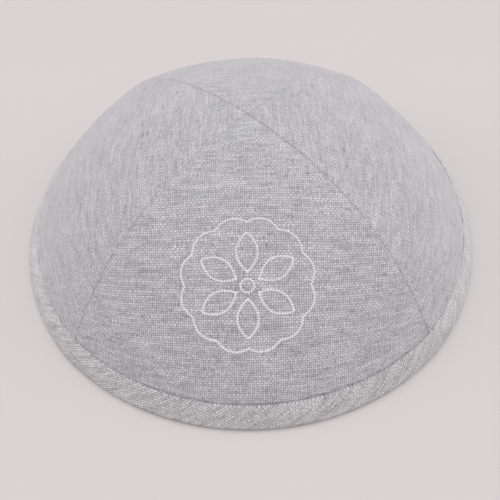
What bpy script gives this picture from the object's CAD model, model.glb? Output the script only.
# A kippah sewn from four linen gores, with a bias binding round its rim and white embroidery.
# Metres, +Z up. The front gore faces -Y. Every gore is worked out facing the front, and then turned
# about the axis to its own place.

import math

import bpy
import numpy as np
from mathutils import Matrix, Vector, noise


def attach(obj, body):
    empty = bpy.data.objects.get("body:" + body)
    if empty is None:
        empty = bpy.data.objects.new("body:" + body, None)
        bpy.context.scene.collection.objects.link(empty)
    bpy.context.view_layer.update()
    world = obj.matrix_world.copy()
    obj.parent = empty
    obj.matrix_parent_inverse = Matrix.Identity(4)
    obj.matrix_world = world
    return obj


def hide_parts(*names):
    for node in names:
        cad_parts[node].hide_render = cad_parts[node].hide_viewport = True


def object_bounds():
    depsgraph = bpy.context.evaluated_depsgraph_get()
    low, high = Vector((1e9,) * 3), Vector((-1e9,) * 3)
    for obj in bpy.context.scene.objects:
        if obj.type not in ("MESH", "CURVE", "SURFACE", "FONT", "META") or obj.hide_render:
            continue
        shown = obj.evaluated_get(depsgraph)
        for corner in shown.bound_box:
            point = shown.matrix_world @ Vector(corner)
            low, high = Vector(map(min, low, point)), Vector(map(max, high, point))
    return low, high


bl_info = {
    "name": "Linen kippah",
    "version": (1, 0, 0),
    "blender": (4, 5, 0),
    "location": "View3D > Sidebar > Kippah",
    "description": "Sews the gores, the bias binding and the embroidery of a linen kippah",
    "category": "Object",
}

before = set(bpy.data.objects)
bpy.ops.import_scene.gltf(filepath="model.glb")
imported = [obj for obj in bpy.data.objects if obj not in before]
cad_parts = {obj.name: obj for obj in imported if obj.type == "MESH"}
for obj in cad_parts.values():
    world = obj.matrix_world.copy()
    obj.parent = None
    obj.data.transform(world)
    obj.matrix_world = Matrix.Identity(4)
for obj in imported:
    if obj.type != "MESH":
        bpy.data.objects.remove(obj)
CAD_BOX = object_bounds()
CROWN_HEIGHT = CAD_BOX[1].z

HALF_GORE = math.pi / 4
QUARTER_TURN = 2 * HALF_GORE
WEAVE_MAP = "weave"
CREASE = "crease"

# The gores, each with its turn about the axis from the front, where it was cut from the cloth, the
# seed of its unevenness, and how deep its two seams are, as pairs for the foot and for near the tip.
# The seam from the front right to the back left joins the halves of the crown, and is the deeper one
# near the tip.
GORES = {
    "front_panel": {
        "turn": 0.0, "cut_at": (0.0, 0.0), "seed": 1, "seams": ((0.8, 0.3), (0.92, 0.95)),
    },
    "right_panel": {
        "turn": math.pi / 2, "cut_at": (0.31, 0.17), "seed": 2, "seams": ((0.92, 0.95), (0.5, 0.15)),
    },
    "back_panel": {
        "turn": math.pi, "cut_at": (0.67, 0.41), "seed": 3, "seams": ((0.5, 0.15), (0.7, 0.9)),
    },
    "left_panel": {
        "turn": -math.pi / 2, "cut_at": (0.93, 0.73), "seed": 4, "seams": ((0.7, 0.9), (0.8, 0.3)),
    },
}

# The two cloths: how far the grain is turned, in degrees, the tones of the warp and of the weft from
# grey to light, how much darker the cloth is between columns, between rows and in the gaps at the
# corners, how much of its contrast is left where the weave is closed, and the faint colour that it is
# washed with.
CLOTHS = {
    "heathered_linen": {
        "turn": 0.0,
        "warp": (-0.25, 0.6),
        "weft": (-0.15, 1.0),
        "between_columns": 0.16,
        "between_rows": 0.0,
        "gaps": 0.52,
        "calm": 0.35,
        "wash": (1.0, 1.0, 1.0),
    },
    "bias_linen": {
        "turn": 36.0,
        "warp": (0.05, 0.6),
        "weft": (-0.5, 1.4),
        "between_columns": 0.0,
        "between_rows": 0.32,
        "gaps": 0.38,
        "calm": 0.1,
        "wash": (1.03, 1.018, 1.0),
    },
}

# The two sets of yarns: their thinnest and thickest width as shares of the pitch, how fast their
# slubs change along a yarn and from one yarn to the next, and the span of the slubs' noise that runs
# from the grey to the light tone.
WARP = {"width": (0.74, 0.98), "slub_along": 0.2, "slub_across": 4.71, "span": (0.28, 0.66)}
WEFT = {"width": (0.78, 1.0), "slub_along": 0.08, "slub_across": 5.37, "span": (0.34, 0.60)}

# How far the yarns wander, in yarns, and how fast.
WARP_WANDER = {"far": 0.5, "scale": 0.06}
WEFT_WANDER = {"far": 0.4, "scale": 0.035}

# How much of a yarn's height is its round section, and the rest is its going over and under. A yarn
# that lies below YARN_TOP is a little darker.
YARN_ROUNDNESS = 0.7
YARN_TOP = 0.6
LOW_YARN_SHADE = 0.10

# The weave is fully open at the front, and CLOSED_WEAVE open at the back and the sides. It opens
# forward, and closes with the square of the distance to a side, over OPENING_SPAN of their sum.
# WEAVE_LEVEL is how light the cloth is where the weave is closed, and where it is open. The contrast is
# whole from FULL_CONTRAST on, and draws in round MIDDLE_TONE below it.
CLOSED_WEAVE = 0.2
OPENS_FORWARD = -6.1
CLOSES_ASIDE = 55.0
OPENING_SPAN = (-0.35, 0.3)
WEAVE_LEVEL = (0.935, 0.866)
FULL_CONTRAST = 0.9
MIDDLE_TONE = 0.6

# Where the cloth is darker between two yarns, as the distance from the middle of a yarn.
BETWEEN_YARNS = (0.28, 0.5)

# The gaps where four yarns meet: how much they are squeezed along the weft and along the warp, how
# large they are, and how soft their edge is, in yarns.
GAP_SQUEEZE = (1.04, 1.12)
GAP_SIZE = (0.27, 0.50)
GAP_EDGE = (-0.18, 0.02)

# Scales of the patches that may hold a fleck, and of the streaks, along the weft and along the warp,
# and scales of the haze and the speckle.
PATCHES = (0.11, 0.36)
STREAKS = (0.13, 0.42)
HAZE_SCALE = 0.05
SPECKLE_SCALE = 0.75

# The flecks' darkness and size, from the least to the most, and how soft their edge is.
FLECK_DARKNESS = (0.05, 0.36)
FLECK_SIZE = (0.5, 1.3)
FLECK_EDGE = (0.1, 0.3)

# The shares of the crossings that are darker and lighter, and how light the lightest is, as a share of
# how dark the darkest is.
DARK_CROSSINGS = 0.25
LIGHT_CROSSINGS = 0.2
LIGHT_NUB = 0.45

# Heights above the surface between which the rubbed shade of the fold fades.
RUBBED_FADES = (0.0006, 0.0022)

# Where the depth of a seam changes from the foot's to the tip's, up a gore from its foot.
SEAM_CHANGES = (0.04, 0.08)

# Sizes of the bumps in a gore: where stitches draw a seam in by turns, the rucks beside it, and the
# slow and the quicker swell of the whole gore. SIDE_SHIFT keeps the bumps of its two seams apart. A
# seam's groove is drawn in evenly in part, and by turns in part.
DRAWN_STITCHES = 0.0027
RUCKS = 0.0042
SLOW_SWELL = 0.034
QUICK_SWELL = 0.014
QUICK_SHARE = 0.4
SIDE_SHIFT = 0.3
DRAWN_EVENLY = 0.85
DRAWN_BY_TURNS = 0.5

# Where the relief of a gore comes in, as the ends of a slope: away from a seam, up from the binding's
# edge, and up from the foot. The rucks beside a seam die away within RUCK_REACH, the welt thins out
# from WELT_TAPER of its width, and the ditch lies DITCH_UP of its half width above the binding's edge.
WELT_FROM_SEAM = (0.0003, 0.0015)
RUCK_FROM_SEAM = (0.0002, 0.0012)
RUCK_REACH = 0.005
SWELL_FROM_SEAM = (0.0, 0.012)
LIFT_FROM_BINDING = (0.0003, 0.0017)
SWELL_FROM_FOOT = (0.0095, 0.018)
WELT_TAPER = 0.7
DITCH_UP = 0.7

# A gore's mesh. Its columns crowd towards the seams, and its rows towards the ditch above the
# binding, which runs from DITCH_TOP above the binding's edge to DITCH_FOOT below it. The rows start at
# TIP_SHARE of the way down, where they are merged. Neighbouring gores are twice HALF_SEAM_GAP apart,
# and within AT_SEAM of a seam their walls turn into its plane.
COLUMNS = 140
ROWS = 120
COLUMN_CROWDING = 0.75
ROWS_ABOVE_DITCH = 0.84
ROWS_TO_DITCH_FOOT = 0.95
DITCH_TOP = 0.0018
DITCH_FOOT = 0.0006
TIP_SHARE = 0.002
TIP_MERGE = 0.00006
HALF_SEAM_GAP = 0.00001
AT_SEAM = 0.0015

# Steps in the binding's section, and round the rim.
LEG_STEPS = 12
EDGE_STEPS = 6
INNER_FOLD_STEPS = 6
OUTER_FOLD_STEPS = 14
RIM_STEPS = 720
BINDING_MERGE = 0.00002

# Sizes of the bumps in the binding's upper edge, fine and coarse, the band that they lie in, the size
# of the strip's slow bumps and where those come in above the foot, and the seed of them all. The strip
# thins out from THINS_FROM of its reach up to its edge.
FINE_NIBBLES = 0.0019
COARSE_NIBBLES = 0.006
COARSE_SHARE = 0.2
NIBBLED_BAND = 0.0032
STRIP_SWELL = 0.03
STRIP_SWELL_FROM_FOOT = (0.0, 0.004)
THINS_FROM = 0.45
STRIP_SEED = 21

# How much of the strip's thickness is added to its flat map, so that its rolled edge has some cloth.
EDGE_IN_MAP = 0.3

# A stitch is arched: its middle stands this far above the cloth and its ends lie this much lower, as
# shares of the thread's thickness.
STITCH_RISE = 0.75
STITCH_ARCH = 1.35
STITCH_CUTS = 3

# The rosette's proportions, as shares of its radius.
SCALLOPS = 12
SCALLOP_DEPTH = 0.075
EYE = 0.1
PETALS = 6
PETAL_START = 0.2
PETAL_LENGTH = 0.57
PETAL_HALF_WIDTH = 0.155
PETAL_STEPS = 40

# The lamps, each with where it shines from and the setting that gives its strength.
LAMPS = {
    "overhead_light": {"from": (0.1, 0.15, 0.9), "strength": "overhead"},
    "front_light": {"from": (0.14, -0.42, 1.0), "strength": "front"},
    "left_light": {"from": (-1.0, 0.05, 0.7), "strength": "left"},
    "right_light": {"from": (1.0, 0.05, 0.7), "strength": "right"},
}


def length(name, default, description):
    """A size in metres."""
    return bpy.props.FloatProperty(
        name=name, default=default, description=description, unit="LENGTH", precision=5
    )


def share(name, default, description, low=0.0, high=1.0):
    """A plain number."""
    return bpy.props.FloatProperty(
        name=name, default=default, description=description, min=low, max=high
    )


def colour(name, default, description):
    """A colour, in linear values."""
    return bpy.props.FloatVectorProperty(
        name=name, default=default, description=description, subtype="COLOR", min=0.0, max=1.0
    )


def angle(name, default, description):
    """An angle, with its default given in degrees."""
    return bpy.props.FloatProperty(
        name=name, default=math.radians(default), description=description, subtype="ANGLE"
    )


def place(name, default, description):
    """A point, in metres."""
    return bpy.props.FloatVectorProperty(
        name=name, default=default, description=description, subtype="TRANSLATION", precision=5
    )


class KippahCrown(bpy.types.PropertyGroup):
    """The crown's form, and the seams of its gores."""

    rim_radius: length("Rim radius", 0.0871, "From the axis to the middle of the wall at a seam's foot")
    foot: length("Foot", 0.0014, "Height of the wall's lower edge above the surface")
    wall: length("Wall", 0.0012, "Thickness of the linen with its stiffening")
    roundness: share("Roundness", 0.55, "Share of a seam's drop that goes with the distance squared")
    steepness: share("Steepness", 4.0, "Power of the rest of the drop", high=9.0)
    tip_flatness: share("Tip flatness", 0.27, "How far the middle of a gore lies inside its seams")
    rim_flatness: share("Rim flatness", 0.01, "The part of the flatness that lasts to the rim")
    flatness_fall: share("Fall of flatness", 1.56, "How fast it falls from the tip", high=9.0)
    groove: length("Seam groove", 0.00042, "How deep the cloth rolls into a seam")
    groove_width: length("Groove width", 0.0003, "How far from the seam the cloth rolls in")
    groove_shade: share("Groove shade", 0.09, "How much darker the cloth is in that groove")
    welt: length("Seam welt", 0.0002, "How much the allowances lift the cloth beside a seam")
    welt_width: length("Welt width", 0.0055, "How far the allowances reach from a seam")
    pucker: length("Pucker", 0.00011, "How much the stitching draws the cloth up along a seam")
    sway: length("Sway", 0.0005, "Slow unevenness of the stiffened cloth")
    ditch: length("Ditch", 0.0004, "How deep the stitching draws the cloth in above the binding")
    ditch_width: length("Ditch width", 0.00023, "Half the width of that ditch")
    ditch_shade: share("Ditch shade", 0.14, "How much darker the cloth is in that ditch")


class KippahLinen(bpy.types.PropertyGroup):
    """The yarns of the heathered linen, and how uneven its tone is."""

    warp_pitch: length("Warp pitch", 0.00067, "From one warp yarn to the next")
    weft_pitch: length("Weft pitch", 0.00079, "From one weft yarn to the next")
    light_yarn: colour("Light yarn", (0.717, 0.701, 0.732), "Bleached yarn")
    grey_yarn: colour("Grey yarn", (0.476, 0.466, 0.489), "Heathered yarn")
    gap: colour("Gap", (0.05, 0.05, 0.055), "What shows between the yarns")
    flecked: share("Flecked", 0.21, "Share of the cloth's patches that hold a dark fleck")
    nub: share("Nub", 0.2, "How dark the darkest crossing of two yarns is")
    speckle: share("Speckle", 0.06, "How much the tone varies from yarn to yarn")
    heather: share("Heather", 0.05, "How much the tone varies in streaks along the weft")
    haze: share("Haze", 0.045, "How much the tone varies over a few centimetres")
    rubbed: share("Rubbed", 0.62, "How dark the front of the fold is rubbed where it rests")
    sheen: share("Sheen", 0.12, "Strength of the fine hairs' sheen")


class KippahBinding(bpy.types.PropertyGroup):
    """The bias strip folded round the rim."""

    reach: length("Reach", 0.0078, "How far the strip reaches up the wall")
    cloth: length("Cloth", 0.001, "Thickness of the strip with its turned-in edge")
    side_edge: share("Edge at the sides", 0.12, "Share of that thickness at the strip's upper edge")
    front_edge: share("Edge at the front", 0.75, "The same share at the front and at the back")
    puff: length("Puff", 0.00016, "How much the strip swells outwards between its edges")
    nibble: length("Nibble", 0.00016, "How much its upper edge wavers in and out")
    nibble_up: length("Nibble upwards", 0.00007, "How much that edge wavers up and down the wall")
    sway: length("Sway", 0.0002, "Slow unevenness of the strip")
    pressed: length("Pressed", 0.0001, "How much the fold is pressed in where it rests")
    clearance: length("Clearance", 0.00002, "Between the strip and the wall")


class KippahEmbroidery(bpy.types.PropertyGroup):
    """The white rosette on the front gore."""

    height: length("Height", 0.0456, "Up the front gore from its foot to the rosette's middle")
    aside: length("Aside", -0.0008, "From the middle line of the gore to the rosette's middle")
    radius: length("Radius", 0.0205, "To the outermost stitches")
    line: length("Line", 0.00115, "Length of a stitch")
    thread: length("Thread", 0.00053, "Thickness of the thread")
    step: length("Step", 0.00082, "From one stitch to the next")
    slant: angle("Slant", 45.0, "How far a stitch is turned from its line")
    white: colour("White", (0.88, 0.87, 0.89), "Thread colour")


class KippahStage(bpy.types.PropertyGroup):
    """The floor, the lights and the camera."""

    camera_place: place("Camera place", (0.0012, -0.1404, 0.17), "Where the camera stands")
    camera_aim: place("Camera aim", (-0.0002, -0.0174, 0.0), "The point of the floor that it looks at")
    camera_roll: angle("Camera roll", -1.67, "How far the camera leans")
    lens: share("Lens", 38.58, "Focal length in millimetres", high=200.0)
    floor_size: length("Floor size", 40.0, "Side of the floor")
    floor: colour("Floor", (0.635, 0.591, 0.587), "Floor colour")
    horizon: colour("Horizon", (0.70, 0.66, 0.655), "Light from low down all round")
    ceiling: colour("Ceiling", (0.297, 0.305, 0.311), "Light from above")
    overhead: share("Overhead", 0.72, "Strength of the light overhead", high=9.0)
    front: share("Front", 1.1, "Strength of the light in front", high=9.0)
    left: share("Left", 0.62, "Strength of the light at the left", high=9.0)
    right: share("Right", 0.5, "Strength of the light at the right", high=9.0)
    spread: angle("Spread", 48.0, "How wide each light is, seen from the kippah")


def crown():
    return bpy.context.scene.kippah_crown


def smooth(low, high, value):
    """From 0 at low to 1 at high, without a corner."""
    t = np.clip((value - low) / (high - low), 0.0, 1.0)
    return t * t * (3.0 - 2.0 * t)


def unevenness(points, size, seed):
    """Smooth noise from -1 to 1 at points, with bumps of about the given size."""
    shift = Vector((seed * 7.31, seed * 3.17, seed * 5.73))
    return np.array([noise.noise(Vector(p) / size + shift) for p in points])


def unit(vectors):
    return vectors / np.linalg.norm(vectors, axis=-1, keepdims=True)


def level_section(down):
    """The level arcs of a gore at shares of the way from the axis to the rim: how far each arc's
    centre lies behind the axis, its radius, and its angle from the middle of the gore to a seam."""
    c = crown()
    seam = c.rim_radius * down
    flatness = c.tip_flatness * np.clip(1.0 - down, 0.0, 1.0) ** c.flatness_fall + c.rim_flatness
    middle = seam * (1.0 - flatness)
    behind = (seam**2 - middle**2) / (2.0 * middle - math.sqrt(2.0) * seam)
    radius = middle + behind
    return behind, radius, np.arcsin(seam * math.sin(HALF_GORE) / radius)


def half_arc(down):
    """Length of a level arc from the middle of a gore to a seam."""
    _, radius, reach = level_section(down)
    return radius * reach


def distance_from_seam(across, down):
    return half_arc(down) * (1.0 - np.abs(across))


def wall_middle(across, down):
    """Points on the middle of the front gore's wall. across runs from -1 to 1, seam to seam, and
    down from 0 at the tip to 1 at the rim."""
    c = crown()
    behind, radius, reach = level_section(down)
    drop = c.roundness * down**2 + (1.0 - c.roundness) * down**c.steepness
    rise = CROWN_HEIGHT - c.wall / 2 - c.foot
    x = radius * np.sin(reach * across)
    y = behind - radius * np.cos(reach * across)
    return np.stack([x, y, c.foot + rise * (1.0 - drop)], axis=-1)


def wall_out(across, down):
    """Directions out of the wall, and down it, at points of the front gore. At a seam, out lies in
    the upright plane that both gores share."""
    nudge = 1e-4
    along = wall_middle(across + nudge, down) - wall_middle(across - nudge, down)
    fall = wall_middle(across, down + nudge) - wall_middle(across, down - nudge)
    out = unit(np.cross(fall, along))
    at_seam = 1.0 - smooth(0.0, AT_SEAM, distance_from_seam(across, down))
    sine, cosine = math.sin(HALF_GORE), math.cos(HALF_GORE)
    aside = np.stack([cosine + 0.0 * across, sine * np.sign(across), 0.0 * across], axis=-1)
    out -= (at_seam * np.sum(out * aside, axis=-1))[:, None] * aside
    return unit(out), unit(fall)


class Meridian:
    """Distances up the middle line of a gore, from its foot."""

    STEPS = 800
    FIRST_SHARE = 0.001
    LEAST_RUN = 0.05
    ROUNDS = 6

    def __init__(self):
        self.down = np.linspace(self.FIRST_SHARE, 1.0, self.STEPS)
        line = wall_middle(np.zeros_like(self.down), self.down)
        steps = np.linalg.norm(np.diff(line, axis=0), axis=1)
        walked = np.concatenate([[0.0], np.cumsum(steps)])
        self.up = walked[-1] - walked
        run = np.abs(np.gradient(np.linalg.norm(line[:, :2], axis=1), walked))
        self.run = np.clip(run, self.LEAST_RUN, 1.0)

    def height(self, down):
        return np.interp(down, self.down, self.up)

    def share_at(self, up):
        return np.interp(-up, -self.up, self.down)

    def bend(self, down):
        """Radius of the curve that a level arc makes once the gore lies flat."""
        _, radius, _ = level_section(down)
        return radius / np.interp(down, self.down, self.run)

    def cloth(self, across, down):
        """Where points of the gore lie in the flat cloth: along the weft, and up the warp."""
        bend = self.bend(down)
        turn = half_arc(down) * across / bend
        return np.stack([bend * np.sin(turn), self.height(down) + bend * (1.0 - np.cos(turn))], axis=-1)

    def place(self, weft, warp):
        """Where points of the flat cloth lie on the gore, as across and down, in a few rounds."""
        down = self.share_at(warp)
        across = np.zeros_like(weft)
        for _ in range(self.ROUNDS):
            bend = self.bend(down)
            turn = np.arcsin(np.clip(weft / bend, -1.0, 1.0))
            across = turn * bend / half_arc(down)
            down = self.share_at(warp - bend * (1.0 - np.cos(turn)))
        return across, down


def grooves(across, down, meridian, gore):
    """How much of a seam's groove, and of the ditch above the binding, is at points of a gore. The
    ditch is deepest at the front and the back, and there is none at the sides."""
    c = crown()
    up = meridian.height(down)
    foot, tip = (np.where(across < 0.0, *depths) for depths in zip(*gore["seams"]))
    depth = foot + (tip - foot) * smooth(*SEAM_CHANGES, up)
    middle = wall_middle(across, down)
    facing = np.arctan2(middle[:, 0], -middle[:, 1]) + gore["turn"]
    ditch_middle = bpy.context.scene.kippah_binding.reach + DITCH_UP * c.ditch_width
    groove = depth * np.exp(-((distance_from_seam(across, down) / c.groove_width) ** 2))
    ditch = np.cos(facing) ** 4 * np.exp(-(((up - ditch_middle) / c.ditch_width) ** 2))
    return groove, ditch


def relief(across, down, meridian, gore):
    """How far the outside of a gore stands out from an even wall: rolled in at its seams, lifted by
    the allowances and drawn up by the stitching beside them, drawn in above the binding, and a little
    uneven all over."""
    c = crown()
    seed = gore["seed"]
    binding_reach = bpy.context.scene.kippah_binding.reach
    from_seam = distance_from_seam(across, down)
    up = meridian.height(down)
    along_seam = np.stack([np.sign(across) * SIDE_SHIFT, up, np.zeros_like(up)], axis=-1)
    middle = wall_middle(across, down)

    groove, ditch = grooves(across, down, meridian, gore)
    by_turns = DRAWN_BY_TURNS * unevenness(along_seam, DRAWN_STITCHES, seed + 5)
    drawn_in = c.groove * (DRAWN_EVENLY + by_turns) * groove + c.ditch * ditch

    welt_end = 1.0 - smooth(WELT_TAPER * c.welt_width, c.welt_width, from_seam)
    on_welt = smooth(*WELT_FROM_SEAM, from_seam) * welt_end
    beside_seam = smooth(*RUCK_FROM_SEAM, from_seam) * np.exp(-from_seam / RUCK_REACH)
    ruck = beside_seam * unevenness(along_seam, RUCKS, seed)
    above_binding = smooth(*LIFT_FROM_BINDING, up - binding_reach)
    lifted = above_binding * (c.welt * on_welt + c.pucker * ruck)

    free = smooth(*SWELL_FROM_SEAM, from_seam) * smooth(*SWELL_FROM_FOOT, up)
    slow = unevenness(middle, SLOW_SWELL, seed)
    quick = QUICK_SHARE * unevenness(middle, QUICK_SWELL, seed + 9)
    return lifted + free * c.sway * (slow + quick) - drawn_in


def deselect_all():
    if bpy.context.object and bpy.context.object.mode != "OBJECT":
        bpy.ops.object.mode_set(mode="OBJECT")
    bpy.ops.object.select_all(action="DESELECT")


def name_piece(piece, name):
    piece.name = name
    piece.data.name = name


def read_points(mesh):
    points = np.zeros(len(mesh.vertices) * 3)
    mesh.vertices.foreach_get("co", points)
    return points.reshape(-1, 3)


def write_points(mesh, points):
    mesh.vertices.foreach_set("co", np.ascontiguousarray(points, dtype=np.float32).ravel())
    mesh.update()


def write_map(mesh, places):
    """Gives each corner of the mesh its vertex's place in the flat cloth, as a UV map in metres."""
    for old in list(mesh.uv_layers):
        mesh.uv_layers.remove(old)
    layer = mesh.uv_layers.new(name=WEAVE_MAP)
    corners = np.zeros(len(mesh.loops), dtype=np.int64)
    mesh.loops.foreach_get("vertex_index", corners)
    layer.uv.foreach_set("vector", np.ascontiguousarray(places[corners], dtype=np.float32).ravel())


class NodeBench:
    """Adds nodes to a material's tree. An input is a number, or another node's output."""

    def __init__(self, name):
        self.material = bpy.data.materials.new(name)
        self.material.use_nodes = True
        self.tree = self.material.node_tree
        self.shader = self.tree.nodes["Principled BSDF"]

    def add(self, kind):
        return self.tree.nodes.new("ShaderNode" + kind)

    def feed(self, socket, value):
        if isinstance(value, bpy.types.NodeSocket):
            self.tree.links.new(value, socket)
        else:
            socket.default_value = value

    def math(self, operation, *values):
        node = self.add("Math")
        node.operation = operation
        for socket, value in zip(node.inputs, values):
            self.feed(socket, value)
        return node.outputs[0]

    def product(self, first, *others):
        for other in others:
            first = self.math("MULTIPLY", first, other)
        return first

    def less(self, value):
        """What is left of 1."""
        return self.math("SUBTRACT", 1.0, value)

    def vector(self, x, y, z=0.0):
        node = self.add("CombineXYZ")
        for socket, value in zip(node.inputs, (x, y, z)):
            self.feed(socket, value)
        return node.outputs[0]

    def parts(self, vector):
        node = self.add("SeparateXYZ")
        self.feed(node.inputs[0], vector)
        return node.outputs

    def cloud(self, vector, scale, detail=2.0):
        """Noise about 0.5."""
        node = self.add("TexNoise")
        node.inputs["Detail"].default_value = detail
        node.inputs["Scale"].default_value = scale
        self.feed(node.inputs["Vector"], vector)
        return node.outputs["Fac"]

    def place(self):
        """The point on the piece, in metres."""
        return self.add("TexCoord").outputs["Object"]

    def spread(self, value, low, high, to_low, to_high):
        """Maps low..high onto to_low..to_high, and holds it within them."""
        node = self.add("MapRange")
        for socket, number in zip(node.inputs[1:5], (low, high, to_low, to_high)):
            socket.default_value = number
        self.feed(node.inputs[0], value)
        return node.outputs[0]

    def by_noise(self, noise_value, to_low, to_high, reach=0.2):
        """Goes from to_low to to_high as the noise goes reach to each side of 0.5."""
        return self.spread(noise_value, 0.5 - reach, 0.5 + reach, to_low, to_high)

    def vary(self, noise_value, amount, reach=0.2):
        """A factor that goes amount to each side of 1, by noise."""
        return self.by_noise(noise_value, 1.0 - amount, 1.0 + amount, reach)

    def mix(self, share_of_second, first, second):
        node = self.add("Mix")
        node.data_type = "RGBA"
        self.feed(node.inputs["Factor"], share_of_second)
        for socket, value in ((node.inputs[6], first), (node.inputs[7], second)):
            self.feed(socket, value if isinstance(value, bpy.types.NodeSocket) else (*value, 1.0))
        return node.outputs[2]

    def vector_math(self, operation, first, socket, second):
        node = self.add("VectorMath")
        node.operation = operation
        self.feed(node.inputs[0], first)
        self.feed(node.inputs[socket], second)
        return node.outputs[0]

    def bump(self, height, strength, distance):
        node = self.add("Bump")
        node.inputs["Strength"].default_value = strength
        node.inputs["Distance"].default_value = distance
        self.feed(node.inputs["Height"], height)
        self.feed(self.shader.inputs["Normal"], node.outputs[0])

    def set_shader(self, **values):
        for socket, value in values.items():
            self.feed(self.shader.inputs[socket.replace("_", " ")], value)


class ThreadGrid:
    """Where a point of the cloth lies among its yarns. x counts the warp yarns and y the weft yarns,
    column and row are the ones it lies on, and from_column and from_row go from -0.5 to 0.5 over
    them. The yarns wander a little."""

    def __init__(self, bench, cloth, look):
        m = bench.math
        flat = bench.add("UVMap")
        flat.uv_map = WEAVE_MAP
        mapping = bench.add("Mapping")
        mapping.vector_type = "TEXTURE"
        mapping.inputs["Rotation"].default_value = (0.0, 0.0, math.radians(look["turn"]))
        mapping.inputs["Scale"].default_value = (cloth.warp_pitch, cloth.weft_pitch, 1.0)
        bench.feed(mapping.inputs["Vector"], flat.outputs[0])
        self.place = mapping.outputs[0]
        even_x, even_y, _ = bench.parts(self.place)

        def wander(far, scale):
            return bench.by_noise(bench.cloud(self.place, scale), -far, far, reach=0.3)

        self.x = m("ADD", even_x, wander(**WARP_WANDER))
        self.y = m("ADD", even_y, wander(**WEFT_WANDER))
        self.column = m("FLOOR", self.x)
        self.row = m("FLOOR", self.y)
        self.from_column = m("SUBTRACT", m("SUBTRACT", self.x, self.column), 0.5)
        self.from_row = m("SUBTRACT", m("SUBTRACT", self.y, self.row), 0.5)

    def stretched(self, bench, along_weft, along_warp, z=0.0):
        """The place among the yarns, scaled, for patterns that are longer one way."""
        return bench.vector(bench.product(self.x, along_weft), bench.product(self.y, along_warp), z)


def open_weave(bench):
    """How open the weave is, from 1 at the front to CLOSED_WEAVE at the back and the sides."""
    x, y, _ = bench.parts(bench.place())
    forward = bench.product(y, OPENS_FORWARD)
    aside = bench.product(x, x, CLOSES_ASIDE)
    return bench.spread(bench.math("SUBTRACT", forward, aside), *OPENING_SPAN, CLOSED_WEAVE, 1.0)


def yarn_height(bench, from_middle, width, along, side):
    """Height of a round yarn that goes over and under, and -1 beside it. side is 1 where it passes
    over, and -1 where it passes under."""
    m = bench.math
    edge = m("DIVIDE", bench.product(from_middle, 2.0), width)
    round_off = bench.less(bench.product(edge, edge))
    inside = m("GREATER_THAN", round_off, 0.0)
    body = m("SQRT", m("MAXIMUM", round_off, 0.0))
    wave = bench.product(m("COSINE", bench.product(along, math.pi)), side)
    rise = bench.product(wave, 1.0 - YARN_ROUNDNESS)
    height = m("ADD", bench.product(body, YARN_ROUNDNESS), rise)
    return m("SUBTRACT", bench.product(m("ADD", height, 1.0), inside), 1.0)


def weave(bench, grid, look):
    """The plain weave, of yarns with thicker and thinner stretches. It gives the height of the yarn
    on top, its tone from grey to light, and the noise that thickens the weft."""
    m = bench.math
    along_weft = bench.product(grid.x, WEFT["slub_along"])
    from_weft = bench.product(grid.row, WEFT["slub_across"])
    along_warp = bench.product(grid.y, WARP["slub_along"])
    from_warp = bench.product(grid.column, WARP["slub_across"])
    weft_slub = bench.cloud(bench.vector(along_weft, from_weft), 1.0, 3.0)
    warp_slub = bench.cloud(bench.vector(from_warp, along_warp, 9.0), 1.0, 3.0)
    weft_width = bench.by_noise(weft_slub, *WEFT["width"])
    warp_width = bench.by_noise(warp_slub, *WARP["width"])
    parity = m("FLOORED_MODULO", m("ADD", grid.column, grid.row), 2.0)
    warp_over = bench.less(bench.product(parity, 2.0))
    weft_over = bench.product(warp_over, -1.0)
    warp = yarn_height(bench, grid.from_column, warp_width, grid.from_row, warp_over)
    weft = yarn_height(bench, grid.from_row, weft_width, grid.from_column, weft_over)
    weft_shows = m("GREATER_THAN", weft, warp)
    weft_tone = bench.spread(weft_slub, *WEFT["span"], *look["weft"])
    warp_tone = bench.spread(warp_slub, *WARP["span"], *look["warp"])
    weft_part = bench.product(weft_shows, weft_tone)
    warp_part = bench.product(bench.less(weft_shows), warp_tone)
    return m("MAXIMUM", warp, weft), m("ADD", weft_part, warp_part), weft_slub


def depth_shade(bench, grid, look, top, openness):
    """How light the cloth is, from 1 on top of a yarn, for the dips between the yarns and the small
    gaps at the corners where four of them meet."""
    m = bench.math
    off_column = m("ABSOLUTE", grid.from_column)
    off_row = m("ABSOLUTE", grid.from_row)
    column_dip = bench.spread(off_column, *BETWEEN_YARNS, 0.0, look["between_columns"])
    row_dip = bench.spread(off_row, *BETWEEN_YARNS, 0.0, look["between_rows"])
    low_yarn = bench.spread(top, -1.0, YARN_TOP, LOW_YARN_SHADE, 0.0)
    depth = m("ADD", m("ADD", column_dip, row_dip), low_yarn)
    crevice = bench.less(bench.product(openness, depth))

    to_gap_x = bench.product(m("SUBTRACT", 0.5, off_column), GAP_SQUEEZE[0])
    to_gap_y = bench.product(m("SUBTRACT", 0.5, off_row), GAP_SQUEEZE[1])
    squared = m("ADD", bench.product(to_gap_x, to_gap_x), bench.product(to_gap_y, to_gap_y))
    gap_size = bench.by_noise(bench.cloud(grid.place, 0.9, 1.0), *GAP_SIZE, reach=0.18)
    outside_gap = m("SUBTRACT", m("SQRT", squared), gap_size)
    hole = bench.product(openness, bench.spread(outside_gap, *GAP_EDGE, look["gaps"], 0.0))
    return bench.product(crevice, bench.less(hole))


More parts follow.
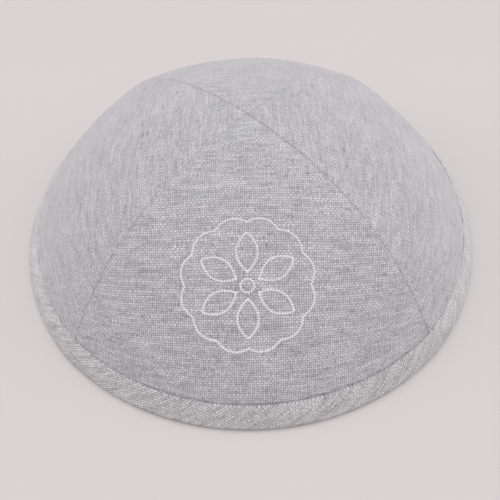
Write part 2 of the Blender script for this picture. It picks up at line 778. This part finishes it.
def flecks(bench, grid, cloth):
    """Short dark slubs along the weft, in some of the cloth's patches."""
    m = bench.math
    patches = bench.add("TexVoronoi")
    patches.inputs["Scale"].default_value = 1.0
    bench.feed(patches.inputs["Vector"], grid.stretched(bench, *PATCHES, 0.5))
    chance, strength, size = bench.parts(patches.outputs["Color"])
    chosen = m("GREATER_THAN", chance, 1.0 - cloth.flecked)
    darkness = bench.product(chosen, bench.spread(strength, 0.0, 1.0, *FLECK_DARKNESS))
    distance = m("DIVIDE", patches.outputs["Distance"], bench.spread(size, 0.0, 1.0, *FLECK_SIZE))
    nearness = bench.spread(distance, *FLECK_EDGE, 1.0, 0.0)
    return bench.less(bench.product(darkness, nearness))


def nubs(bench, grid, cloth, contrast):
    """Lighter and darker crossings of two yarns, here and there."""
    m = bench.math
    crossing = bench.add("TexWhiteNoise")
    bench.feed(crossing.inputs["Vector"], bench.vector(grid.column, grid.row))
    chance = crossing.outputs["Value"]
    dark = bench.spread(chance, 1.0 - DARK_CROSSINGS, 1.0, 0.0, cloth.nub)
    light = bench.spread(chance, 0.0, LIGHT_CROSSINGS, LIGHT_NUB * cloth.nub, 0.0)
    return m("ADD", 1.0, bench.product(contrast, m("SUBTRACT", light, dark)))


def patina(bench, grid, cloth, openness):
    """The slow changes of tone: haze, streaks and speckle, the slightly darker open weave, the shade
    in the seams and the ditch, and the rubbed fold at the front where it rests."""
    haze = bench.vary(bench.cloud(grid.place, HAZE_SCALE, 3.0), cloth.haze)
    heather = bench.vary(bench.cloud(grid.stretched(bench, *STREAKS), 1.0), cloth.heather)
    speckle = bench.vary(bench.cloud(grid.place, SPECKLE_SCALE), cloth.speckle, reach=0.25)
    level = bench.spread(openness, CLOSED_WEAVE, 1.0, *WEAVE_LEVEL)
    crease = bench.add("Attribute")
    crease.attribute_name = CREASE
    _, _, z = bench.parts(bench.place())
    low_down = bench.spread(z, *RUBBED_FADES, cloth.rubbed, 0.0)
    rubbed = bench.less(bench.product(low_down, openness))
    return bench.product(haze, heather, speckle, level, bench.less(crease.outputs["Fac"]), rubbed)


def linen_material(name):
    """One of the two cloths: plain-weave linen of light and grey yarns. The weave is most open at the
    front, and closes up towards the sides and the back."""
    cloth = bpy.context.scene.kippah_linen
    look = CLOTHS[name]
    bench = NodeBench(name)
    m = bench.math
    grid = ThreadGrid(bench, cloth, look)
    openness = open_weave(bench)
    contrast = bench.spread(openness, CLOSED_WEAVE, FULL_CONTRAST, look["calm"], 1.0)
    top, tone, weft_slub = weave(bench, grid, look)

    calm_tone = m("ADD", MIDDLE_TONE, bench.product(m("SUBTRACT", tone, MIDDLE_TONE), contrast))
    yarn_colour = bench.mix(calm_tone, cloth.grey_yarn, cloth.light_yarn)
    shade = depth_shade(bench, grid, look, top, openness)
    cloth_colour = bench.mix(shade, cloth.gap, yarn_colour)
    spots = bench.product(flecks(bench, grid, cloth), nubs(bench, grid, cloth, contrast))
    tint = bench.product(spots, patina(bench, grid, cloth, openness))
    tinted = bench.vector_math("SCALE", cloth_colour, "Scale", tint)
    washed = bench.vector_math("MULTIPLY", tinted, 1, look["wash"])

    bench.bump(top, strength=0.6, distance=0.2 * cloth.warp_pitch)
    bench.set_shader(
        Base_Color=washed,
        Roughness=bench.by_noise(weft_slub, 0.95, 0.82),
        Specular_IOR_Level=0.25,
        Sheen_Weight=cloth.sheen,
        Sheen_Roughness=0.5,
    )
    return bench.material


def thread_material():
    """White embroidery thread, with its fine fibres."""
    white = bpy.context.scene.kippah_embroidery.white
    bench = NodeBench("white_thread")
    fibres = bench.cloud(bench.place(), 2500.0, 3.0)
    deeper = tuple(0.86 * part for part in white)
    bench.bump(fibres, strength=0.4, distance=0.00005)
    bench.set_shader(
        Base_Color=bench.mix(bench.by_noise(fibres, 0.0, 1.0), deeper, white),
        Roughness=0.55,
        Sheen_Weight=0.3,
    )
    return bench.material


def floor_material(stage):
    """A matt pale floor, very slightly mottled."""
    bench = NodeBench("pale_floor")
    mottle = bench.by_noise(bench.cloud(bench.place(), 9.0, 3.0), 0.0, 1.0)
    deeper = tuple(0.985 * part for part in stage.floor)
    bench.set_shader(
        Base_Color=bench.mix(mottle, deeper, stage.floor),
        Roughness=0.9,
        Specular_IOR_Level=0.1,
    )
    return bench.material


def finish_piece(piece, material, replaced=()):
    """Gives a finished piece its material, its body, and the CAD nodes that it stands for."""
    piece.data.materials.clear()
    piece.data.materials.append(material)
    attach(piece, "root")
    if replaced:
        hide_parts(*replaced)


class KIPPAH_OT_sew_gores(bpy.types.Operator):
    """Lays a slab of cloth for each gore, and shapes it to the crown with its seams and puckers"""

    bl_idname = "kippah.sew_gores"
    bl_label = "Sew the gores"

    def execute(self, context):
        linen = linen_material("heathered_linen")
        meridian = Meridian()
        for name, gore in GORES.items():
            piece = self.lay_slab(name + "_linen")
            self.shape(piece.data, gore, meridian)
            self.close_tip(piece)
            finish_piece(piece, linen, [name])
        return {"FINISHED"}

    def lay_slab(self, name):
        """A square slab, 1 deep, from -1 to 1 across and from 1 at its tip to -1 at its lower edge.
        Its upper face is the outside of the gore."""
        deselect_all()
        bpy.ops.mesh.primitive_grid_add(x_subdivisions=COLUMNS, y_subdivisions=ROWS, size=2.0)
        piece = bpy.context.object
        name_piece(piece, name)
        bpy.ops.object.mode_set(mode="EDIT")
        bpy.ops.mesh.select_all(action="SELECT")
        bpy.ops.mesh.extrude_region_move(TRANSFORM_OT_translate={"value": (0.0, 0.0, -1.0)})
        bpy.ops.mesh.select_all(action="SELECT")
        bpy.ops.mesh.normals_make_consistent(inside=False)
        bpy.ops.object.mode_set(mode="OBJECT")
        return piece

    def places(self, slab, meridian):
        """Where the slab's points go on the gore, as across and down."""
        across = slab[:, 0] * (1.0 + COLUMN_CROWDING * (1.0 - slab[:, 0] ** 2) / 2)
        binding_reach = bpy.context.scene.kippah_binding.reach
        rows = (0.0, ROWS_ABOVE_DITCH, ROWS_TO_DITCH_FOOT, 1.0)
        heights = (meridian.up[0], binding_reach + DITCH_TOP, binding_reach - DITCH_FOOT, 0.0)
        up = np.interp((1.0 - slab[:, 1]) / 2, rows, heights)
        down = np.maximum(meridian.share_at(up), TIP_SHARE)
        across *= 1.0 - np.minimum(0.5, HALF_SEAM_GAP / half_arc(down))
        return across, down

    def shape(self, mesh, gore, meridian):
        c = crown()
        slab = read_points(mesh)
        outside = slab[:, 2] > -0.5
        across, down = self.places(slab, meridian)
        out, _ = wall_out(across, down)
        lift = relief(across, down, meridian, gore)
        offset = np.where(outside, c.wall / 2 + lift, -c.wall / 2)
        points = wall_middle(across, down) + out * offset[:, None]
        write_map(mesh, meridian.cloth(across, down) + np.array(gore["cut_at"]))
        groove, ditch = grooves(across, down, meridian, gore)
        shaded = c.groove_shade * groove + c.ditch_shade * ditch
        crease = mesh.attributes.new(CREASE, "FLOAT", "POINT")
        crease.data.foreach_set("value", np.where(outside, shaded, 0.0).astype(np.float32))
        turn = np.array(Matrix.Rotation(gore["turn"], 3, "Z"))
        write_points(mesh, points @ turn.T)

    def close_tip(self, piece):
        deselect_all()
        bpy.context.view_layer.objects.active = piece
        piece.select_set(True)
        bpy.ops.object.mode_set(mode="EDIT")
        bpy.ops.mesh.select_all(action="SELECT")
        bpy.ops.mesh.remove_doubles(threshold=TIP_MERGE)
        bpy.ops.object.mode_set(mode="OBJECT")
        bpy.ops.object.shade_smooth_by_angle(angle=math.radians(50.0))


class KIPPAH_OT_fold_binding(bpy.types.Operator):
    """Spins the folded strip's section round the axis, and leans it onto the rim"""

    bl_idname = "kippah.fold_binding"
    bl_label = "Fold the binding"

    def execute(self, context):
        strip = context.scene.kippah_binding
        linen = linen_material("bias_linen")
        piece = self.spin_section(strip)
        self.lean(piece.data, strip)
        bpy.ops.object.shade_smooth_by_angle(angle=math.radians(60.0))
        finish_piece(piece, linen, ["rim_binding"])
        return {"FINISHED"}

    def section(self, strip):
        """The folded strip's section: pairs of distance out from the middle of the wall, and up it."""
        near = crown().wall / 2 + strip.clearance
        far = near + strip.cloth
        roll = strip.cloth / 2
        edge_middle = strip.reach - roll
        fall = crown().foot + strip.pressed

        def turns(low, high, steps):
            return [math.radians(low + (high - low) * k / steps) for k in range(steps + 1)]

        heights = [edge_middle * k / LEG_STEPS for k in range(LEG_STEPS)]
        outer_leg = [(far, up) for up in heights]
        inner_leg = [(near, up) for up in heights]
        edge = [
            (near + roll + roll * math.cos(t), edge_middle + roll * math.sin(t))
            for t in turns(0, 90, EDGE_STEPS)
        ]
        right = outer_leg + edge + [(near, strip.reach)] + inner_leg[::-1]
        left = [(-out, up) for out, up in right[::-1]]
        under = turns(0, 180, INNER_FOLD_STEPS)
        back_under = turns(180, 0, OUTER_FOLD_STEPS)
        inner_fold = [(near * math.cos(t), -near * math.sin(t)) for t in under]
        outer_fold = [(far * math.cos(t), -fall * math.sin(t)) for t in back_under]
        return right + inner_fold[1:-1] + left + outer_fold[1:-1]

    def spin_section(self, strip):
        radius = crown().rim_radius
        section = self.section(strip)
        deselect_all()
        bpy.ops.mesh.primitive_circle_add(
            vertices=len(section), radius=strip.cloth, fill_type="NOTHING"
        )
        piece = bpy.context.object
        name_piece(piece, "rim_binding_linen")
        write_points(piece.data, [(0.0, -(radius + out), up) for out, up in section])
        bpy.ops.object.mode_set(mode="EDIT")
        bpy.ops.mesh.select_all(action="SELECT")
        bpy.ops.mesh.spin(
            steps=RIM_STEPS, angle=math.tau, center=(0.0, 0.0, 0.0), axis=(0.0, 0.0, 1.0)
        )
        bpy.ops.mesh.select_all(action="SELECT")
        bpy.ops.mesh.remove_doubles(threshold=BINDING_MERGE)
        bpy.ops.mesh.normals_make_consistent(inside=False)
        bpy.ops.object.mode_set(mode="OBJECT")
        return piece

    def lean(self, mesh, strip):
        """Sets the upright ring against the wall, pressed flatter towards its edges and a little
        uneven where the stitching catches them."""
        c = crown()
        points = read_points(mesh)
        offset = np.linalg.norm(points[:, :2], axis=1) - c.rim_radius
        up = points[:, 2]
        heading = np.arctan2(points[:, 0], -points[:, 1])
        outside = offset > 0.0
        weft = c.rim_radius * heading
        warp = np.where(outside, up, -up) + EDGE_IN_MAP * offset
        write_map(mesh, np.stack([weft, warp], axis=-1))

        around = np.stack([np.cos(heading), np.sin(heading), np.zeros_like(up)], axis=-1) * c.rim_radius
        coarse = COARSE_SHARE * unevenness(around, COARSE_NIBBLES, STRIP_SEED + 1)
        uneven = unevenness(around, FINE_NIBBLES, STRIP_SEED) + coarse
        in_band = smooth(strip.reach - NIBBLED_BAND, strip.reach, up)
        caught = np.where(outside, in_band * uneven, 0.0)
        settled = self.pressed_flat(offset, up, heading, strip)
        swell = strip.puff * np.sin(np.clip(up / strip.reach, 0.0, 1.0) * math.pi)
        slow = strip.sway * unevenness(around, STRIP_SWELL, STRIP_SEED + 2)
        slow *= smooth(*STRIP_SWELL_FROM_FOOT, up)
        settled += np.where(outside, swell + slow, 0.0) + strip.nibble * caught

        quarter = np.round(heading / QUARTER_TURN) * QUARTER_TURN
        across = self.across_gore(heading - quarter)
        down = Meridian().share_at(np.maximum(up + strip.nibble_up * caught, 0.0))
        out, fall = wall_out(across, down)
        below = np.minimum(up, 0.0)
        shaped = wall_middle(across, down) + out * settled[:, None] - fall * below[:, None]
        shaped[:, 2] = np.maximum(shaped[:, 2], 0.0)
        x, y, z = shaped.T
        sine, cosine = np.sin(quarter), np.cos(quarter)
        write_points(mesh, np.stack([x * cosine - y * sine, x * sine + y * cosine, z], axis=-1))

    def pressed_flat(self, offset, up, heading, strip):
        """Distances out from the middle of the wall, with the strip thinner towards its upper edge.
        The edge is thickest at the front and the back."""
        near = crown().wall / 2 + strip.clearance
        edge_share = strip.side_edge + (strip.front_edge - strip.side_edge) * np.cos(heading) ** 4
        pressed = 1.0 - (1.0 - edge_share) * smooth(THINS_FROM * strip.reach, strip.reach, up)
        thickness = (np.abs(offset) - near) * np.where(up > 0.0, pressed, 1.0)
        return np.sign(offset) * (near + thickness)

    def across_gore(self, heading):
        """Where headings from the middle of a gore meet its lower edge, from -1 to 1."""
        behind, radius, reach = level_section(np.ones_like(heading))
        sine, cosine = np.sin(heading), np.cos(heading)
        seat = np.sqrt(radius**2 - (behind * sine) ** 2) - behind * cosine
        return np.arcsin(seat * sine / radius) / reach


class KIPPAH_OT_embroider(bpy.types.Operator):
    """Stitches a rosette on the front gore, in short slanted stitches of white thread"""

    bl_idname = "kippah.embroider"
    bl_label = "Embroider the rosette"

    def execute(self, context):
        motif = context.scene.kippah_embroidery
        stitch = self.make_stitch(motif)
        meridian = Meridian()
        copies = []
        for line in self.rosette(motif.radius):
            copies += self.sew_line(stitch, np.array(line), motif, meridian)
        bpy.data.objects.remove(stitch)
        deselect_all()
        for copy in copies:
            copy.select_set(True)
        bpy.context.view_layer.objects.active = copies[0]
        bpy.ops.object.join()
        piece = bpy.context.object
        name_piece(piece, "front_embroidery")
        bpy.ops.object.transform_apply(location=True, rotation=True, scale=True)
        bpy.ops.object.shade_smooth()
        finish_piece(piece, thread_material())
        return {"FINISHED"}

    def make_stitch(self, motif):
        """One stitch, lying along X and arched over the cloth at z = 0, with its ends below it."""
        deselect_all()
        bpy.ops.mesh.primitive_cylinder_add(
            vertices=6, radius=motif.thread / 2, depth=motif.line, rotation=(0.0, math.pi / 2, 0.0)
        )
        stitch = bpy.context.object
        bpy.ops.object.transform_apply(location=True, rotation=True, scale=True)
        bpy.ops.object.mode_set(mode="EDIT")
        bpy.ops.mesh.select_mode(type="EDGE")
        bpy.ops.mesh.select_all(action="DESELECT")
        bpy.ops.object.mode_set(mode="OBJECT")
        for edge in stitch.data.edges:
            one, other = (stitch.data.vertices[k].co.x for k in edge.vertices)
            edge.select = abs(one - other) > motif.line / 2
        bpy.ops.object.mode_set(mode="EDIT")
        bpy.ops.mesh.subdivide(number_cuts=STITCH_CUTS)
        bpy.ops.object.mode_set(mode="OBJECT")
        points = read_points(stitch.data)
        reach = points[:, 0] / (motif.line / 2)
        points[:, 2] += motif.thread * (STITCH_RISE - STITCH_ARCH * reach**2)
        write_points(stitch.data, points)
        return stitch

    def rosette(self, radius):
        """The rosette's lines as points in the flat cloth, about its middle: a scalloped border, a
        small eye and the petals."""

        def ring(count, distance_at):
            turns = [math.tau * i / count for i in range(count + 1)]
            return [(math.sin(t) * distance_at(t), math.cos(t) * distance_at(t)) for t in turns]

        def border(turn):
            return radius * (1.0 - SCALLOP_DEPTH * (1.0 - abs(math.sin(turn * SCALLOPS / 2))))

        petals = [self.petal(math.tau * k / PETALS, radius) for k in range(PETALS)]
        return [ring(360, border), ring(24, lambda turn: radius * EYE), *petals]

    def petal(self, turn, radius):
        """A pointed petal, up one side from the middle of the rosette and down the other."""
        sine, cosine = math.sin(turn), math.cos(turn)
        points = []
        for i in range(-PETAL_STEPS, PETAL_STEPS + 1):
            way_out = 1.0 - abs(i) / PETAL_STEPS
            half_width = PETAL_HALF_WIDTH * radius * math.sin(math.pi * way_out) ** 0.8
            aside = math.copysign(half_width, i)
            out = radius * (PETAL_START + PETAL_LENGTH * way_out)
            points.append((sine * out + cosine * aside, cosine * out - sine * aside))
        return points

    def sew_line(self, stitch, line, motif, meridian):
        """Copies of the stitch, evenly along a line of the flat cloth, each slanted across it."""
        steps = np.linalg.norm(np.diff(line, axis=0), axis=1)
        walked = np.concatenate([[0.0], np.cumsum(steps)])
        count = max(2, round(walked[-1] / motif.step))
        at = np.linspace(0.0, walked[-1], count)
        weft = np.interp(at, walked, line[:, 0]) + motif.aside
        warp = np.interp(at, walked, line[:, 1]) + motif.height
        across, down = meridian.place(weft, warp)
        outs, _ = wall_out(across, down)
        lift = relief(across, down, meridian, GORES["front_panel"])
        seats = wall_middle(across, down) + outs * (crown().wall / 2 + lift)[:, None]
        copies = []
        for seat, out, way in zip(seats, outs, np.gradient(seats, axis=0)):
            copy = stitch.copy()
            copy.data = stitch.data.copy()
            bpy.context.collection.objects.link(copy)
            up = Vector(out).normalized()
            along = Matrix.Rotation(motif.slant, 3, up) @ Vector(way).normalized()
            aside = up.cross(along).normalized()
            basis = Matrix((along, aside, up)).transposed().to_4x4()
            copy.matrix_world = Matrix.Translation(seat) @ basis
            copies.append(copy)
        return copies


class KIPPAH_OT_set_stage(bpy.types.Operator):
    """Lays the pale floor, and sets the soft light and the camera"""

    bl_idname = "kippah.set_stage"
    bl_label = "Set the stage"

    def execute(self, context):
        stage = context.scene.kippah_stage
        self.lay_floor(stage)
        self.light_room(stage)
        self.set_lamps(stage)
        self.set_camera(stage)
        context.scene.view_settings.view_transform = "Standard"
        return {"FINISHED"}

    def lay_floor(self, stage):
        deselect_all()
        bpy.ops.mesh.primitive_plane_add(size=stage.floor_size)
        floor = bpy.context.object
        name_piece(floor, "pale_floor")
        floor.data.materials.append(floor_material(stage))

    def light_room(self, stage):
        """Light from all round, bright at the horizon and dimmer from the ceiling."""
        world = bpy.data.worlds.new("soft_room")
        bpy.context.scene.world = world
        world.use_nodes = True
        nodes, links = world.node_tree.nodes, world.node_tree.links
        direction = nodes.new("ShaderNodeTexCoord")
        parts = nodes.new("ShaderNodeSeparateXYZ")
        ramp = nodes.new("ShaderNodeValToRGB")
        for element, height, light in zip(
            ramp.color_ramp.elements, (0.12, 0.6), (stage.horizon, stage.ceiling)
        ):
            element.position = height
            element.color = (*light, 1.0)
        links.new(direction.outputs["Generated"], parts.inputs[0])
        links.new(parts.outputs["Z"], ramp.inputs["Fac"])
        links.new(ramp.outputs["Color"], nodes["Background"].inputs["Color"])

    def set_lamps(self, stage):
        for name, lamp in LAMPS.items():
            deselect_all()
            bpy.ops.object.light_add(type="SUN", location=lamp["from"])
            light = bpy.context.object
            light.name = name
            light.data.angle = stage.spread
            light.data.energy = getattr(stage, lamp["strength"])
            light.rotation_euler = (-Vector(lamp["from"])).to_track_quat("-Z", "Y").to_euler()

    def set_camera(self, stage):
        stand = Vector(stage.camera_place)
        look = (Vector(stage.camera_aim) - stand).to_track_quat("-Z", "Y").to_matrix()
        lean = Matrix.Rotation(stage.camera_roll, 3, "Z")
        deselect_all()
        bpy.ops.object.camera_add(location=stand, rotation=(look @ lean).to_euler())
        camera = bpy.context.object
        camera.name = "camera"
        camera.data.lens = stage.lens
        camera.data.clip_start = 0.01
        bpy.context.scene.camera = camera


class KIPPAH_PT_sidebar(bpy.types.Panel):
    """Lists the steps that make the kippah, with their sizes and colours"""

    bl_idname = "KIPPAH_PT_sidebar"
    bl_label = "Kippah"
    bl_space_type = "VIEW_3D"
    bl_region_type = "UI"
    bl_category = "Kippah"

    def draw(self, context):
        for step, groups in STEPS.items():
            box = self.layout.box()
            box.operator(step)
            for group in groups:
                settings = getattr(context.scene, group)
                for name in settings.__annotations__:
                    box.prop(settings, name)


# The steps in the order that they run, each with the settings that are shown below it.
STEPS = {
    "kippah.set_stage": ["kippah_stage"],
    "kippah.sew_gores": ["kippah_crown", "kippah_linen"],
    "kippah.fold_binding": ["kippah_binding"],
    "kippah.embroider": ["kippah_embroidery"],
}

SETTINGS = {
    "kippah_crown": KippahCrown,
    "kippah_linen": KippahLinen,
    "kippah_binding": KippahBinding,
    "kippah_embroidery": KippahEmbroidery,
    "kippah_stage": KippahStage,
}

CLASSES = (
    *SETTINGS.values(),
    KIPPAH_OT_sew_gores,
    KIPPAH_OT_fold_binding,
    KIPPAH_OT_embroider,
    KIPPAH_OT_set_stage,
    KIPPAH_PT_sidebar,
)


def register():
    for each in CLASSES:
        bpy.utils.register_class(each)
    for name, group in SETTINGS.items():
        setattr(bpy.types.Scene, name, bpy.props.PointerProperty(type=group))


def unregister():
    for name in SETTINGS:
        delattr(bpy.types.Scene, name)
    for each in reversed(CLASSES):
        bpy.utils.unregister_class(each)


def main():
    register()
    bpy.ops.kippah.set_stage()
    bpy.ops.kippah.sew_gores()
    bpy.ops.kippah.fold_binding()
    bpy.ops.kippah.embroider()


if __name__ == "__main__":
    main()
